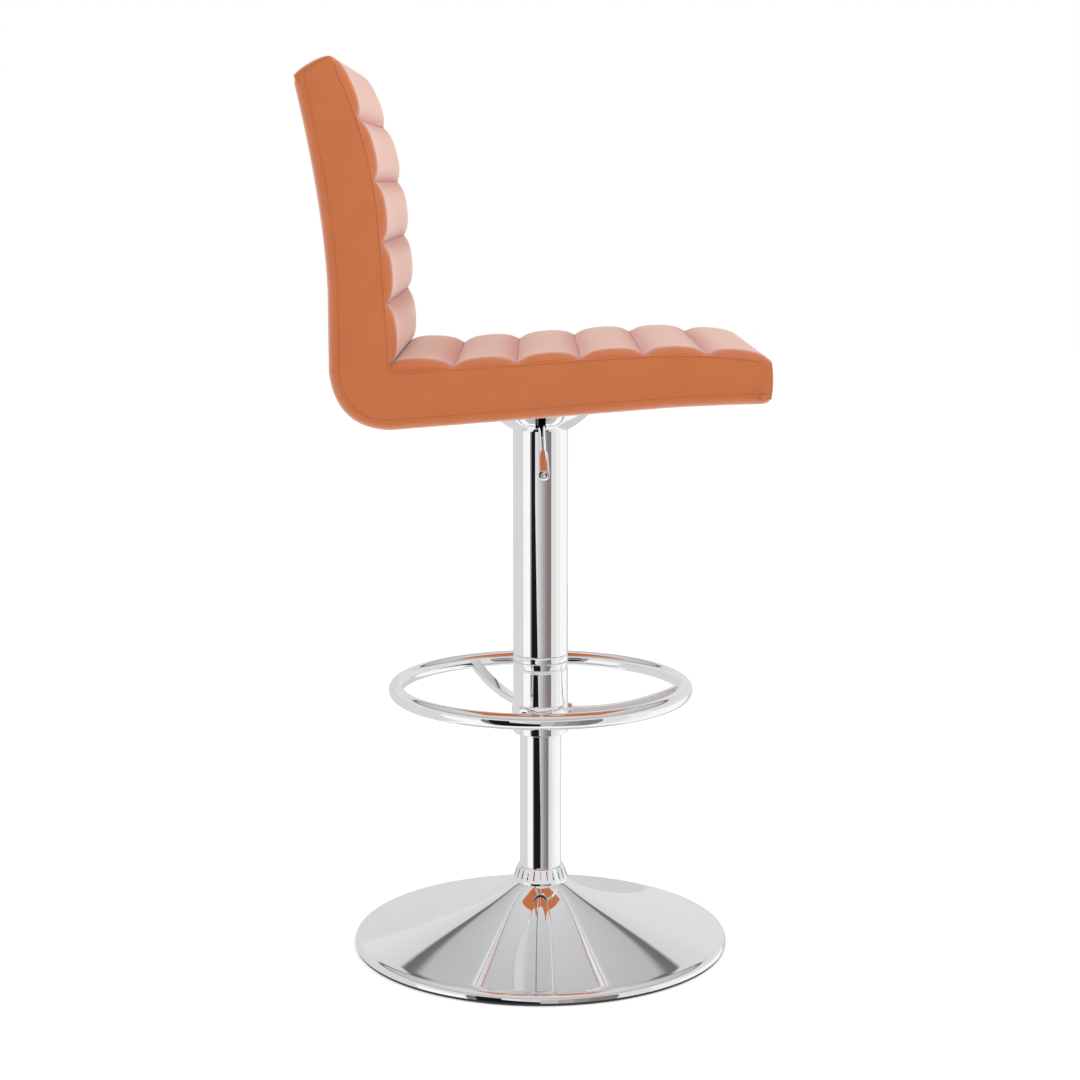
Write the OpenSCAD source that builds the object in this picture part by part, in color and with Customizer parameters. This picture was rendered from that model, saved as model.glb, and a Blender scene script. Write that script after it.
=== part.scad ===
// Adjustable bar stool: trumpet base, gas-lift column, footrest ring and a
// channelled L-shaped seat.  Front is -Y, +Z is up, the origin is on the
// column's axis where the base meets the floor.  Millimetres.

/* [Base] */
// Diameter of the trumpet base
base_d = 410; // [340:1:480]
// Sheet thickness of the base shell
shell_t = 1.5; // [1:0.1:2.5]
// Height of the flare's neck, where the slotted collar sits
neck_z = 71; // [60:1:90]
// Height of the shell's rolled edge
rim_z = 12; // [10:0.5:16]
// Thickness of the weight plate
ballast_t = 5; // [3:0.5:8]
// Thickness of the rubber edge ring under the plate
rubber_t = 3.4; // [2.5:0.1:5]

/* [Column] */
// Outside diameter of the fixed lower tube
column_d = 46; // [42:0.1:56]
// Wall of the fixed lower tube
column_wall = 2; // [1.5:0.1:3]
// Outside diameter of the telescoping cover tube
cover_d = 60; // [58:1:64]
// Wall of the cover tube and the footrest sleeve
cover_wall = 1.5; // [1.2:0.1:2]
// Diameter of the gas cylinder
cylinder_d = 28; // [24:0.1:34]
// Diameter of the piston rod
rod_d = 10; // [8:0.5:12]
// Height of the gas cylinder's lower end when the seat is down
cylinder_z0 = 50; // [48:1:60]
// Running clearance of a shaft in its bore, on the radius
running_fit = 0.05; // [0.02:0.01:0.1]

/* [Footrest] */
// Diameter of the footrest ring, measured on its tube's centre line
foot_ring_d = 315; // [280:1:340]
// Tube diameter of the footrest ring
foot_tube_d = 17; // [15:0.5:20]
// Height of the footrest ring
foot_ring_z = 285.8; // [275:0.1:300]
// How far the arms leave the sleeve below the ring
arm_drop = 25.5; // [20:0.5:30]
// Width of an arm
arm_w = 12; // [10:0.5:14]
// Height of an arm's section
arm_h = 8; // [7:0.5:10]
// Height of the sleeve's lower edge
sleeve_z0 = 237; // [225:1:240]
// Length of the sleeve that carries the arms
sleeve_len = 87; // [84:1:95]

/* [Seat] */
// Width of the seat over its side panels
seat_w = 370; // [320:1:444]
// Depth of the seat from its nose to the back
seat_depth = 378.5; // [330:0.5:420]
// Distance from the column's axis to the foot of the back
back_foot_y = 150; // [135:1:165]
// Height of the seat's seams above the floor, at the column's axis
seat_z = 655.5; // [600:0.1:790]
// Thickness of the seat, from its seams to its underside
seat_t = 56; // [50:1:70]
// Slope of the seat towards the back, in degrees
seat_rake = 4; // [2:0.5:6]
// Slope of the seat's underside, in degrees
under_rake = 4.6; // [3:0.1:6]
// Number of sewn channels across the seat
seat_channels_n = 6; // [4:1:8]

/* [Back] */
// Height of the back above its lowest seam
back_h = 301; // [250:1:340]
// Thickness of the back at its foot
back_t = 61.2; // [56:0.1:70]
// Lean of the back's lower part, in degrees
back_lean = 3.6; // [2:0.1:6]
// How far the top of the back curls rearward
back_curl = 36.5; // [20:0.5:45]
// Number of sewn channels up the back
back_channels_n = 5; // [4:1:6]

/* [Upholstery] */
// Height of a channel's crown over its seams
crown = 11.5; // [8:0.5:14]
// Thickness of the vinyl with its wadding
skin_t = 2; // [1.5:0.1:3]
// Thickness of the plywood boards
board_t = 12; // [10:0.1:15]

/* [Lever] */
// Distance from the column's axis to the lever's pivot
pivot_x = 18; // [17:0.5:20]
// Reach of the lever from the column's axis to the grip's end
lever_reach = 150; // [130:1:170]
// How far the lever's end hangs below its pivot
lever_fall = 42.4; // [35:0.1:50]
// Diameter of the lever's rod
lever_d = 7; // [6:0.5:8]
// Diameter of the grip at its end
grip_d = 11.7; // [10:0.1:14]

/* [Hidden] */
$fn = 96;

chrome = "silver";
steel = "slategray";
vinyl = [0.77, 0.42, 0.22];
foam = "khaki";
ply = "burlywood";
black = [0.08, 0.08, 0.08];

// ---- places worked out from the driving sizes ----
base_r = base_d / 2;
column_r = column_d / 2;
column_bore = column_r - column_wall;
neck_r = column_r + 6.5;
cover_r = cover_d / 2;
cover_bore = cover_r - cover_wall;
cylinder_r = cylinder_d / 2;
rod_r = rod_d / 2;
rod_neck_r = rod_r - 1.5;

rim_lip = 8;
rim_relief = 3;
hub_flange_t = 4;
hub_flange_r = column_r + 26;
hub_tube_r = column_r + 4;
hub_top_z = neck_z - 3;
hub_z = rubber_t + ballast_t;
hub_screw_pcd = column_r + 17;
hub_screw_r = 3;

end_plate_z = hub_z + 4;
end_plate_t = 5;
race_t = 2;
race_r = 15;
ball_r = 2;
ball_pcr = 10.5;
ball_gap = 0.02;
ball_n = 12;
lower_race_top = end_plate_z + end_plate_t + race_t;
upper_race_z = lower_race_top + 2 * (ball_r + ball_gap);
clip_t = 2;
clip_gap = 0.1;
rod_foot_z = end_plate_z - clip_gap - clip_t - 1;
bump_h = 12;

gland_len = 20;
piston_z = cylinder_z0 + 250;
piston_len = 12;
cylinder_wall = 1.5;

collar_h = 16.5;
collar_slots = 24;

sleeve_top = sleeve_z0 + sleeve_len;
bead_h = 15;
arm_z = foot_ring_z - arm_drop;
arm_n = 3;
foot_ring_r = foot_ring_d / 2;
cover_z0 = sleeve_top + 0.5;

// seat carrier: everything under the seat that rises with it
under_z = seat_z - seat_t;
bracket_z = under_z - 28.5;
bracket_t = 2.5;
bracket_half_x = pivot_x + 5;
bracket_half_y = cylinder_r + 3;
cylinder_top = bracket_z + bracket_t;
cover_top = bracket_z - 1;
socket_len = 25;
socket_z = bracket_z - socket_len;
taper_r = cylinder_r - 0.5;
socket_r = cylinder_r + 5;
plate_r = 54;
plate_t = 3;
plate_bolt_r = 44;
bolt_r = 3;
bolt_n = 4;
bell_wall = 1.2;
bell_top_r = 66;

// the fixed tube ends just under the socket when the seat is down
socket_gap = 3;
bush_len = 80;
bush_lip = 3;
bush_lip_top = socket_z - socket_gap;
column_top_z = bush_lip_top - bush_lip;

button_r = 3;
button_top = cylinder_top + 3.5;
button_len = 17;
arm_gap = 0.1;
lever_half = 4;
pivot_z = button_top + arm_gap + lever_half;
pivot_r = 2.5;
lever_inner = 4;
lever_cross_x = 35;
lever_toe = 1.3;
grip_len = 50;

// upholstered body
front_y = back_foot_y - seat_depth;
rear_y = back_foot_y + back_t;
roll_start = front_y + 167;
roll_drop = 15.7;
nose_lift = 3.5;
back_z0 = seat_top(back_foot_y) + 8.3;
back_z1 = back_z0 + back_h;
curl_z = back_z0 + 119;
rear_bend_z = back_z0 + 67;
rear_curl = 30.3;
cap_drop = 19.3;
top_rear_z = back_z1 - cap_drop;
round_y = rear_y - 62;
round_z = under_z + 46;
nose_y = front_y + 12;
nose_round_z = under_z + 20;
seat_pitch = seat_depth / seat_channels_n;
back_pitch = back_h / back_channels_n;
panel_t = skin_t;
core_w = seat_w - 2 * panel_t;
board_w = core_w - 10;

function bez2(a, b, c, t) =
    (1 - t) * (1 - t) * a + 2 * t * (1 - t) * b + t * t * c;
function bez3(a, b, c, d, t) =
    pow(1 - t, 3) * a + 3 * t * pow(1 - t, 2) * b
    + 3 * t * t * (1 - t) * c + pow(t, 3) * d;
function turned(v) = [v[1], -v[0]] / norm(v);
function steps(n) = [for (k = [0:n]) k / n];
function reversed(list) = [for (k = [len(list) - 1:-1:0]) list[k]];

// seam line on top of the seat: a straight rake that rolls off at the nose
function seat_top(y) =
    seat_z - y * tan(seat_rake)
    - roll_drop * pow(max(0, (roll_start - y) / (roll_start - front_y)), 2.6);
// underside of the seat, which flattens under the nose
function seat_under(y) =
    under_z - y * tan(under_rake)
    - nose_lift * pow(max(0, (front_y + 107 - y) / 95), 1.5);
// seam line up the front of the back
function back_front(z) =
    back_foot_y + (z - back_z0) * tan(back_lean)
    + back_curl * pow(max(0, (z - curl_z) / (back_z1 - curl_z)), 2.3);
// rear face of the back
function back_rear(z) =
    rear_y + rear_curl * pow(max(0, (z - rear_bend_z) / 209), 1.6);

// runs of the side outline, each drawn s inside the outer surface
function under_run(s) =
    [for (t = steps(6)) let (y = nose_y + t * (round_y - nose_y)) [y, seat_under(y) + s]];
function round_run(s) =
    [for (t = steps(7)) bez2([round_y, seat_under(round_y) + s],
                             [rear_y - 7 - s, seat_under(round_y) + s + 0.5],
                             [rear_y - s, round_z], t)];
function rear_run(s) =
    [for (t = steps(12)) let (z = round_z + t * (top_rear_z - s - round_z)) [back_rear(z) - s, z]];
function front_run(s) =
    [for (t = steps(14)) let (z = back_z1 - s - t * (back_h - s)) [back_front(z) + s, z]];
function seat_run(s) =
    [for (t = steps(14)) let (y = back_foot_y + s - t * (seat_depth)) [y, seat_top(y) - s]];
function nose_run(s) =
    [for (t = steps(4)) bez2([front_y + s, nose_round_z + s],
                             [front_y + s - 1, seat_under(nose_y) + s],
                             [nose_y + s, seat_under(nose_y) + s], t)];
function side_outline(s) =
    concat(under_run(s), round_run(s), rear_run(s), front_run(s), seat_run(s), nose_run(s));

// crowns of n channels standing on a seam line given by its points
function crowned(a, b, h) =
    [for (t = steps(8)) a + t * (b - a) + turned(b - a) * h * pow(sin(180 * t), 0.75)];

module across_x(w) {
    translate([-w / 2, 0, 0]) rotate([90, 0, 90]) linear_extrude(w) children();
}

// the seat's underside as a tilted plane through the column's axis
module on_under() {
    translate([0, 0, under_z]) rotate([-under_rake, 0, 0]) children();
}

module tube(r, bore, z0, z1) {
    difference() {
        translate([0, 0, z0]) cylinder(r = r, h = z1 - z0);
        translate([0, 0, z0 - 1]) cylinder(r = bore, h = z1 - z0 + 2);
    }
}

module spun(points) {
    rotate_extrude() polygon(points);
}

// ---------------- base ----------------
// outer line of the flare from neck to rim, and the same line shifted inward by s
function flare(t, s) =
    let (a = [neck_r, neck_z], b = [neck_r + 12.5, neck_z - 16],
         c = [neck_r + 70.5, 32.4], d = [base_r - rim_lip, rim_z],
         p = bez3(a, b, c, d, t),
         q = bez3(a, b, c, d, t + 0.001) - bez3(a, b, c, d, t - 0.001))
    p + turned(q) * -s;
function rim_round(s) =
    [for (t = steps(6)) bez2([base_r - rim_lip, rim_z - s],
                             [base_r - 0.5 - s, rim_z - 0.8 - s],
                             [base_r - s, rubber_t + 1.6], t)];

module base_shell() {
    outer = [for (t = steps(24)) flare(t, 0)];
    inner = [for (t = steps(24)) flare(t, -shell_t)];
    color(chrome) spun(concat(
        outer, rim_round(0), [[base_r, rubber_t], [base_r - shell_t, rubber_t]],
        reversed(rim_round(shell_t)), reversed(inner)));
}

module ballast_plate() {
    color(steel) difference() {
        tube(base_r - shell_t - rim_relief, column_bore - 3, rubber_t, hub_z);
        hub_screw_holes();
    }
}

module hub_screw_holes() {
    for (k = [0:2])
        rotate([0, 0, 60 + 120 * k]) translate([hub_screw_pcd, 0, 0])
            cylinder(r = hub_screw_r, h = hub_z + hub_flange_t + 2);
}

module edge_ring() {
    color(black) spun([
        [base_r - 26, 0], [base_r - 2.2, 0], [base_r - 0.8, 1.2],
        [base_r - 0.6, rubber_t], [base_r - 26, rubber_t]]);
}

module base_hub() {
    color(steel) difference() {
        union() {
            tube(hub_flange_r, column_r, hub_z, hub_z + hub_flange_t);
            tube(hub_tube_r, column_r, hub_z, hub_top_z);
        }
        hub_screw_holes();
    }
}

module hub_screws() {
    color(steel) for (k = [0:2])
        rotate([0, 0, 60 + 120 * k]) translate([hub_screw_pcd, 0, 0]) {
            translate([0, 0, rubber_t]) cylinder(r = hub_screw_r, h = ballast_t + hub_flange_t);
            translate([0, 0, hub_z + hub_flange_t]) cylinder(r = 5, h = 4, $fn = 6);
        }
}

module lower_column() {
    color(chrome) tube(column_r, column_bore, hub_z, column_top_z);
}

module column_end_plate() {
    color(steel) tube(column_bore, rod_neck_r + running_fit, end_plate_z, end_plate_z + end_plate_t);
}

module lower_race() {
    color(steel) tube(race_r, rod_neck_r + 0.5, end_plate_z + end_plate_t, lower_race_top);
}

// ball cage with its balls, resting on the lower race
module bearing_balls() {
    color(steel) {
        for (k = [0:ball_n - 1])
            rotate([0, 0, 360 / ball_n * k])
                translate([ball_pcr, 0, lower_race_top + ball_r]) sphere(r = ball_r, $fn = 32);
        difference() {
            tube(race_r - 1, rod_neck_r + 1, lower_race_top + 1.4, lower_race_top + 2.6);
            for (k = [0:ball_n - 1])
                rotate([0, 0, 360 / ball_n * k])
                    translate([ball_pcr, 0, lower_race_top]) cylinder(r = ball_r + 0.1, h = 6);
        }
    }
}

module slotted_collar() {
    slot_w = 1.3;
    color(chrome) difference() {
        spun([[column_r, neck_z], [neck_r + 1, neck_z], [neck_r + 1, neck_z + 1.6],
              [column_r + 2.4, neck_z + collar_h - 1], [column_r + 1.2, neck_z + collar_h],
              [column_r, neck_z + collar_h]]);
        for (k = [0:collar_slots - 1])
            rotate([0, 0, 360 / collar_slots * k])
                translate([column_r + 1.3, -slot_w / 2, neck_z + 4.5])
                    cube([12, slot_w, collar_h - 6.5]);
    }
}

module guide_bush() {
    color(black) {
        tube(column_bore, cylinder_r + running_fit, column_top_z - bush_len, column_top_z);
        tube(column_r, cylinder_r + running_fit, column_top_z, bush_lip_top);
    }
}

// ---------------- footrest ----------------
module footrest_sleeve() {
    bead = [for (t = steps(8)) [cover_r - 0.9 + 1.1 * sin(180 * t), sleeve_top - bead_h + 1 + t * (bead_h - 1)]];
    band_half = 10;
    band = [for (t = steps(8)) [cover_r + 1.9 * sin(180 * t), arm_z - band_half + 2 * band_half * t]];
    boss_r = norm([arm_w, arm_h]) / 2 + 1;
    boss_out = 4.5;
    color(chrome) difference() {
        union() {
            spun(concat(
                [[cover_bore, sleeve_z0], [cover_r - 1, sleeve_z0], [cover_r, sleeve_z0 + 1]],
                band, [[cover_r, sleeve_top - bead_h]], bead, [[cover_bore, sleeve_top]]));
            for (k = [0:arm_n - 1])
                arm_turn(k) translate([0, 0, arm_z]) rotate([0, 90, 0])
                    cylinder(r1 = boss_r + 2, r2 = boss_r, h = cover_r + boss_out);
        }
        translate([0, 0, sleeve_z0 - 1]) cylinder(r = cover_bore, h = sleeve_len + 2);
        for (k = [0:arm_n - 1]) arm_turn(k) arm_sweep();
        set_screw_place() cylinder(r = 3, h = 20);
    }
}

module arm_turn(k) {
    rotate([0, 0, -90 + 120 * k]) children();
}

module set_screw_place() {
    translate([cover_bore - 2, 0, sleeve_z0 + 58]) rotate([0, 90, 0]) children();
}

module footrest_set_screw() {
    color(black) difference() {
        set_screw_place() cylinder(r = 3, h = 6.5);
        set_screw_place() translate([0, 0, 3]) cylinder(r = 1.5, h = 4, $fn = 6);
    }
}

module footrest_bush() {
    color(black) difference() {
        tube(cover_bore, column_r, sleeve_z0 + 1, sleeve_top - 1);
        set_screw_place() cylinder(r = 3.1, h = 20);
    }
}

// an arm leaves the sleeve level, then bends up on an arc to the ring's inner side
function arm_rise(x) =
    arm_drop * pow(max(0, (x - 36) / (foot_ring_r - 4 - 36)), 2.2);
module arm_sweep() {
    start = cover_r - 0.2;
    end = foot_ring_r - 2;
    xs = [for (t = steps(20)) start + t * (end - start)];
    low = [for (x = xs) [x, arm_z - arm_h / 2 + arm_rise(x)]];
    high = [for (x = reversed(xs)) [x, arm_z + arm_h / 2 + arm_rise(x)]];
    translate([0, arm_w / 2, 0]) rotate([90, 0, 0]) linear_extrude(arm_w)
        polygon(concat(low, high));
}

module footrest_arm(k) {
    color(chrome) difference() {
        arm_turn(k) arm_sweep();
        translate([0, 0, foot_ring_z]) ring_solid();
        translate([0, 0, sleeve_z0]) cylinder(r = cover_bore, h = sleeve_len);
    }
}

module ring_solid() {
    rotate_extrude() translate([foot_ring_r, 0]) circle(r = foot_tube_d / 2, $fn = 48);
}

module footrest_ring() {
    color(chrome) translate([0, 0, foot_ring_z]) ring_solid();
}

// ---------------- gas lift ----------------
module piston_rod() {
    color(chrome) {
        translate([0, 0, rod_foot_z]) cylinder(r = rod_neck_r, h = upper_race_z - rod_foot_z);
        translate([0, 0, upper_race_z]) cylinder(r = rod_r, h = piston_z - upper_race_z);
    }
}

module rod_clip() {
    color(steel) tube(rod_neck_r + 3.5, rod_neck_r, rod_foot_z + 1, rod_foot_z + 1 + clip_t);
}

module upper_race() {
    color(steel) tube(race_r, rod_r, upper_race_z, upper_race_z + race_t);
}

module bump_stop() {
    color(black) tube(rod_r + 5, rod_r, upper_race_z + race_t, upper_race_z + race_t + bump_h);
}

module piston() {
    color(steel) translate([0, 0, piston_z])
        cylinder(r = cylinder_r - cylinder_wall - running_fit, h = piston_len);
}

module gas_cylinder() {
    color(black) difference() {
        union() {
            translate([0, 0, cylinder_z0]) cylinder(r = cylinder_r, h = socket_z - cylinder_z0);
            translate([0, 0, socket_z])
                cylinder(r1 = cylinder_r, r2 = taper_r, h = cylinder_top - socket_z);
        }
        translate([0, 0, cylinder_z0 - 1])
            cylinder(r = cylinder_r - cylinder_wall, h = socket_z - cylinder_z0);
        translate([0, 0, button_top - button_len - 3.5])
            cylinder(r = button_r + running_fit, h = button_len + 10);
    }
}

module cylinder_gland() {
    color(black) tube(cylinder_r - cylinder_wall, rod_r + running_fit, cylinder_z0, cylinder_z0 + gland_len);
}

module valve_button() {
    color("darkred") {
        translate([0, 0, button_top - button_len]) cylinder(r = button_r, h = button_len - button_r);
        translate([0, 0, button_top - button_r]) sphere(r = button_r, $fn = 32);
    }
}

module cover_tube() {
    color(chrome) tube(cover_r, cover_bore, cover_z0, cover_top);
}

module cover_guide() {
    color(black) tube(cover_bore, column_r + running_fit, cover_z0 + 1, cover_z0 + 11);
}

// ---------------- seat carrier ----------------
function bell_line(s) =
    [for (t = steps(14)) bez3([cover_r + 0.2 - s, cover_top], [cover_r + 10 - s, cover_top + 5.5],
                              [bell_top_r - 14 - s, under_z - 17], [bell_top_r - s, under_z + 4], t)];
module bell_cover() {
    color(chrome) difference() {
        spun(concat(bell_line(0), reversed(bell_line(bell_wall))));
        on_under() translate([-100, -100, 0]) cube([200, 200, 40]);
        translate([-80, -5.5, bracket_z + 3]) cube([50, 11, 17]);
    }
}

module taper_socket() {
    color(steel) difference() {
        translate([0, 0, socket_z]) cylinder(r = socket_r, h = socket_len);
        translate([0, 0, socket_z])
            cylinder(r1 = cylinder_r, r2 = taper_r, h = cylinder_top - socket_z);
        translate([0, 0, socket_z - 1]) cylinder(r = cylinder_r, h = 1);
    }
}

// folded channel: floor with the cylinder's hole, two walls up to the plate
module lift_bracket() {
    inner_half = bracket_half_y - bracket_t;
    color(steel) difference() {
        translate([-bracket_half_x, -bracket_half_y, bracket_z])
            cube([2 * bracket_half_x, 2 * bracket_half_y, 40]);
        translate([-bracket_half_x - 1, -inner_half, bracket_z + bracket_t])
            cube([2 * bracket_half_x + 2, 2 * inner_half, 50]);
        translate([0, 0, socket_z])
            cylinder(r1 = cylinder_r, r2 = taper_r, h = cylinder_top - socket_z);
        translate([0, 0, cylinder_top - 0.5]) cylinder(r = taper_r, h = 3);
        on_under() translate([-100, -100, -plate_t]) cube([200, 200, 60]);
        pivot_place() cylinder(r = pivot_r, h = 40, center = true);
    }
}

module pivot_place() {
    translate([-pivot_x, 0, pivot_z]) rotate([90, 0, 0]) children();
}

module lever_pivot() {
    color(steel) {
        pivot_place() cylinder(r = pivot_r, h = 2 * bracket_half_y, center = true);
        for (side = [-1, 1])
            translate([0, side * (bracket_half_y + 0.75), 0])
                pivot_place() cylinder(r = pivot_r + 1.5, h = 1.5, center = true);
    }
}

module bolt_places() {
    for (k = [0:bolt_n - 1])
        rotate([0, 0, 45 + 360 / bolt_n * k]) translate([plate_bolt_r, 0, 0]) children();
}

module seat_plate() {
    color(steel) on_under() difference() {
        translate([0, 0, -plate_t]) cylinder(r = plate_r, h = plate_t);
        bolt_places() translate([0, 0, -plate_t - 1]) cylinder(r = bolt_r + 0.3, h = plate_t + 2);
    }
}

module seat_bolts() {
    head_r = 4.9;
    color(steel) on_under() bolt_places() {
        translate([0, 0, -plate_t - 4]) cylinder(r = head_r, h = 4, $fn = 6);
        translate([0, 0, -plate_t]) cylinder(r = bolt_r, h = plate_t + skin_t + board_t - 1);
    }
}

tee_barrel_r = bolt_r + 1.4;
module tee_nuts() {
    color(steel) on_under() bolt_places() {
        tube(tee_barrel_r, bolt_r, skin_t + 2, skin_t + board_t);
        tube(tee_barrel_r + 5, bolt_r, skin_t + board_t, skin_t + board_t + 1.2);
    }
}

// ---------------- lever ----------------
// The rod is let into the raised end of the arm and runs straight down to the grip.
// Its axis crosses the pivot's height at lever_cross_x.
lever_block_x = pivot_x + 12;
lever_root_x = pivot_x + 6;
lever_tilt = atan(lever_fall / (lever_reach - lever_cross_x));
lever_root_z = pivot_z + (lever_cross_x - lever_root_x) * tan(lever_tilt);
lever_straight = (lever_reach - lever_root_x) / cos(lever_tilt);
lever_riser = 14;
grip_socket = grip_len - 14;

// children drawn along +Z start at the rod's root and run down the lever
module down_lever(distance) {
    rotate([0, 0, lever_toe]) translate([-lever_root_x, 0, lever_root_z])
        rotate([0, -90 - lever_tilt, 0]) translate([0, 0, distance]) children();
}

module lever_rod() {
    color(chrome) difference() {
        union() {
            translate([-lever_block_x, -4, pivot_z - lever_half])
                cube([lever_block_x + lever_inner, 8, 2 * lever_half]);
            translate([-lever_block_x, -4, pivot_z - lever_half])
                cube([lever_riser, 8, 12]);
            down_lever(0) cylinder(r = lever_d / 2, h = lever_straight - grip_len + grip_socket);
        }
        pivot_place() cylinder(r = pivot_r + running_fit, h = 20, center = true);
    }
}

// chromed sleeve pushed over the rod's end, with a blind hole in its end face
module lever_grip() {
    shoulder = 6;
    color(chrome) down_lever(lever_straight - grip_len) difference() {
        union() {
            cylinder(r1 = lever_d / 2 + 0.6, r2 = grip_d / 2 - 1, h = shoulder);
            translate([0, 0, shoulder])
                cylinder(r1 = grip_d / 2 - 1, r2 = grip_d / 2, h = grip_len - shoulder);
        }
        translate([0, 0, -1]) cylinder(r = lever_d / 2, h = grip_socket + 1);
        translate([0, 0, grip_len - 5]) cylinder(r = 3.3, h = 6);
    }
}

// ---------------- upholstered seat ----------------
board_front = front_y + 20;
board_len = round_y - 2 - board_front;
board_top = skin_t + board_t;
bracket_w = 40;
bracket_at = 110;
bracket_foot = 42;
bracket_rise = 60;
bracket_y = rear_y - skin_t - board_t;
strap_t = 3;
screw_r = 2;
screw_head_r = 4;
screw_head_h = 2.4;

module board_blank() {
    translate([-board_w / 2, board_front, skin_t]) cube([board_w, board_len, board_t]);
}

module seat_board() {
    color(ply) difference() {
        on_under() board_blank();
        on_under() bolt_places() cylinder(r = tee_barrel_r, h = 60);
        foot_screw_places() translate([0, 0, -20]) cylinder(r = screw_r, h = 40);
    }
}

// section of the back board, which follows the rear panel nearly to the top
module back_board_section() {
    rear = [for (k = [0:11]) rear_run(skin_t)[k]];
    polygon(concat(rear, [for (p = reversed(rear)) [p[0] - board_t, p[1]]]));
}

module back_board() {
    color(ply) difference() {
        across_x(board_w) back_board_section();
        rise_screw_places() cylinder(r = screw_r, h = 60, center = true);
    }
}

module foot_screw_places() {
    for (side = [-1, 1])
        on_under() translate([side * bracket_at, round_y - bracket_foot / 2, board_top]) children();
}

module rise_screw_places() {
    for (side = [-1, 1])
        translate([side * bracket_at, bracket_y, round_z + 35]) rotate([90, 0, 0]) children();
}

// bent steel straps that join the back board to the seat board
function strap_foot(y, t) = [y, under_z - y * tan(under_rake) + (board_top + t) / cos(under_rake)];
module bracket_straps() {
    a = round_y - bracket_foot;
    b = round_y - 2;
    section = [strap_foot(a, 0), strap_foot(b, 0), [bracket_y, round_z + 2],
               [bracket_y, round_z + bracket_rise], [bracket_y - strap_t, round_z + bracket_rise],
               [bracket_y - strap_t, round_z + 3.4], strap_foot(b - 1, strap_t),
               strap_foot(a, strap_t)];
    for (side = [-1, 1])
        translate([side * bracket_at, 0, 0]) across_x(bracket_w) polygon(section);
}

module corner_brackets() {
    color(steel) difference() {
        bracket_straps();
        foot_screw_places() translate([0, 0, -20]) cylinder(r = screw_r, h = 40);
        rise_screw_places() cylinder(r = screw_r, h = 60, center = true);
    }
}

module bracket_screws() {
    color(steel) {
        foot_screw_places() {
            translate([0, 0, strap_t]) cylinder(r = screw_head_r, h = screw_head_h);
            translate([0, 0, 2 - board_t]) cylinder(r = screw_r, h = board_t - 2 + strap_t);
        }
        rise_screw_places() {
            translate([0, 0, strap_t]) cylinder(r = screw_head_r, h = screw_head_h);
            translate([0, 0, 2 - board_t]) cylinder(r = screw_r, h = board_t - 2 + strap_t);
        }
    }
}

// the two foams are cut from one core, at the foot of the back
module core() {
    across_x(core_w) polygon(side_outline(skin_t));
}

module foam_pockets() {
    on_under() {
        board_blank();
        bolt_places() cylinder(r = tee_barrel_r + 5, h = board_top + 1.2);
    }
    across_x(board_w) back_board_section();
    bracket_straps();
    foot_screw_places() cylinder(r = screw_head_r, h = strap_t + screw_head_h);
    rise_screw_places() cylinder(r = screw_head_r, h = strap_t + screw_head_h);
}

module seat_foam() {
    color(foam) difference() {
        core();
        translate([-seat_w, back_foot_y, 0]) cube([2 * seat_w, 300, 2000]);
        foam_pockets();
    }
}

module back_foam() {
    color(foam) difference() {
        core();
        translate([-seat_w, back_foot_y - 600, 0]) cube([2 * seat_w, 600, 2000]);
        foam_pockets();
    }
}

// sewn cover of the seat: a skin with its padded channels, seams at equal pitch
module seat_channels() {
    seams = [for (k = [0:seat_channels_n]) let (y = back_foot_y - k * seat_pitch) [y, seat_top(y)]];
    inner = [for (p = reversed(seat_run(skin_t))) [max(p[0], front_y), p[1]]];
    crowns = [for (k = [0:seat_channels_n - 1]) each crowned(seams[k], seams[k + 1], crown)];
    color(vinyl) difference() {
        across_x(core_w) polygon(concat(crowns, inner));
        across_x(core_w + 10) polygon(back_room());
    }
}

// room that the back's lowest channel takes over the seat's last one
function back_room() =
    concat(front_run_up(0), [[back_foot_y + 80, back_z1], [back_foot_y + 80, back_z0 - 60],
           [back_foot_y - 0.01, back_z0 - 60], [back_foot_y - 0.01, back_z0]]);
function front_run_up(s) = concat(
    [for (t = steps(8)) crowned([back_front(back_z0 + back_pitch), back_z0 + back_pitch],
        [back_foot_y, back_z0], crown)[8 - round(8 * t)]]);

module back_channels() {
    seams = [for (k = [0:back_channels_n])
        let (z = back_z1 - k * back_pitch) [back_front(z), z]];
    inner = reversed(front_run(skin_t));
    crowns = [for (k = [0:back_channels_n - 1]) each crowned(seams[k], seams[k + 1], crown)];
    color(vinyl) across_x(core_w) polygon(concat(crowns, inner));
}

module side_panel(side) {
    color(vinyl) translate([side * (seat_w - panel_t) / 2, 0, 0])
        across_x(panel_t) polygon(side_outline(0));
}

module nose_panel() {
    puff = 4;
    face = [[front_y, seat_top(front_y)], [front_y, nose_round_z]];
    outer = crowned(face[0], face[1], puff);
    inner = [[front_y + skin_t, nose_round_z + skin_t],
             [front_y + skin_t, seat_top(front_y) - skin_t]];
    color(vinyl) across_x(core_w) polygon(concat(outer, inner));
}

// rear, bottom and nose corner in one piece that wraps round
module rear_panel() {
    color(vinyl) difference() {
        across_x(core_w) polygon(concat(
            nose_run(0), under_run(0), round_run(0), rear_run(0),
            reversed(rear_run(skin_t)), reversed(round_run(skin_t)),
            reversed(under_run(skin_t)), reversed(nose_run(skin_t))));
        on_under() bolt_places() translate([0, 0, -1]) cylinder(r = bolt_r + 0.3, h = skin_t + 6);
    }
}

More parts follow.
